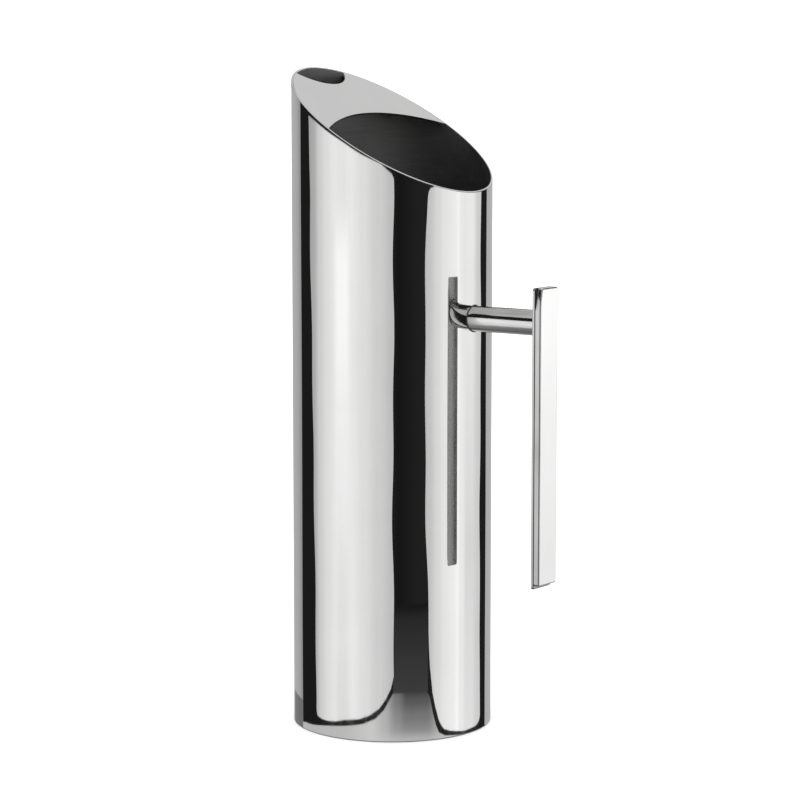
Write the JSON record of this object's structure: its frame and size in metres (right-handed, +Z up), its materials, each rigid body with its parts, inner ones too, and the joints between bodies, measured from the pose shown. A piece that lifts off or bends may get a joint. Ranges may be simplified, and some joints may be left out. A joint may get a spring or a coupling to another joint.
{
  "type": "water pitcher",
  "caption": "Tall straight-sided steel water jug with a slanted rim, a flat ice guard with a pouring gap, and a bar grip on a short stub.",
  "frame": {"origin": "on the axis of the round body, in the plane that the foot stands on", "axes": "+Z up along the body's axis, +X from the axis to the handle, with the spout at -X; +Y across the jug"},
  "size_m": [0.1363, 0.095, 0.3128],
  "materials": {
    "mirror_steel": "polished",
    "satin_steel": "satin",
    "weld_steel": "satin"
  },
  "bodies": {
    "root": {"body_wall": "mirror_steel", "ice_guard": "mirror_steel", "handle_stub": "mirror_steel", "grip_shell": "mirror_steel", "grip_back_plate": "mirror_steel", "stub_body_weld": "mirror_steel", "stub_grip_weld": "mirror_steel", "base_pan": "satin_steel", "base_weld": "weld_steel", "guard_weld_left": "weld_steel", "guard_weld_right": "weld_steel"}
  },
  "joints": []
}
